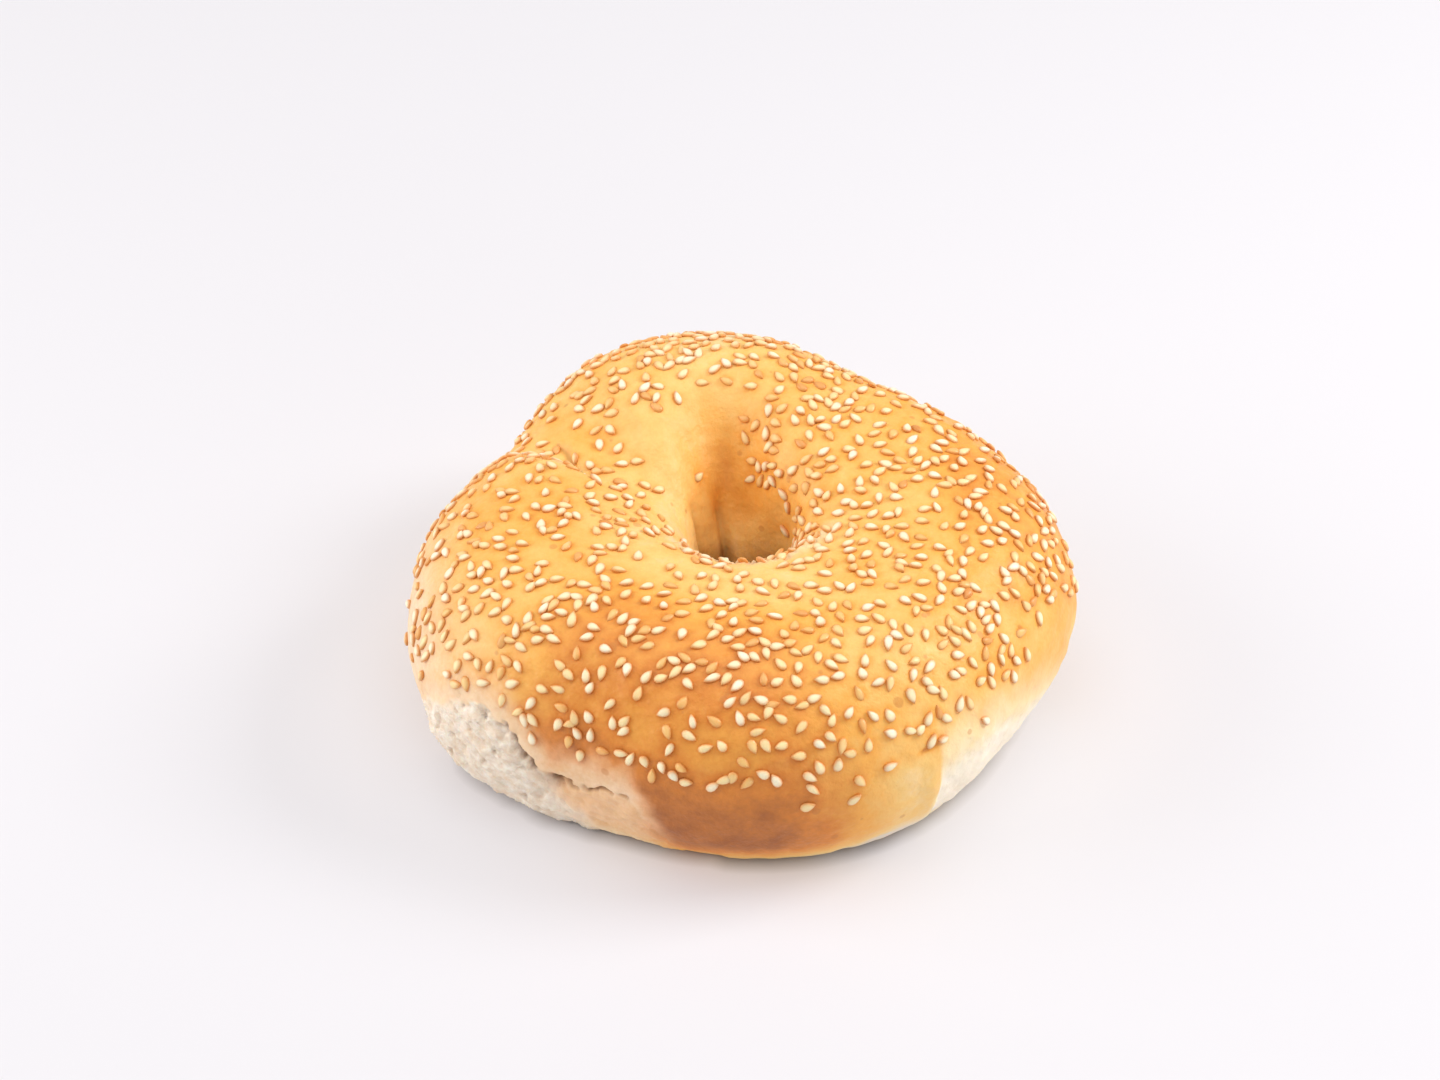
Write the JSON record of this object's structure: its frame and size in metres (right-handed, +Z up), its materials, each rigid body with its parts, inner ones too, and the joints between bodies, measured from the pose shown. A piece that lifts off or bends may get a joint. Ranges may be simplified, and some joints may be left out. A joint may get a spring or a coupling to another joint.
{
  "type": "bagel",
  "caption": "Whole baked bagel: an uneven ring of golden bread dough with sesame seeds, a pinched seam and torn pale sides.",
  "frame": {"origin": "centre of the bagel's bounding box in plan, at the bottom of its flat base", "axes": "+Z up out of the base, +X to the right and +Y to the back; the seam is at the back left"},
  "size_m": [0.117, 0.1132, 0.0439],
  "materials": {
    "crust": "golden baked crust, satin"
  },
  "bodies": {
    "root": {"bagel": "crust"}
  },
  "joints": []
}
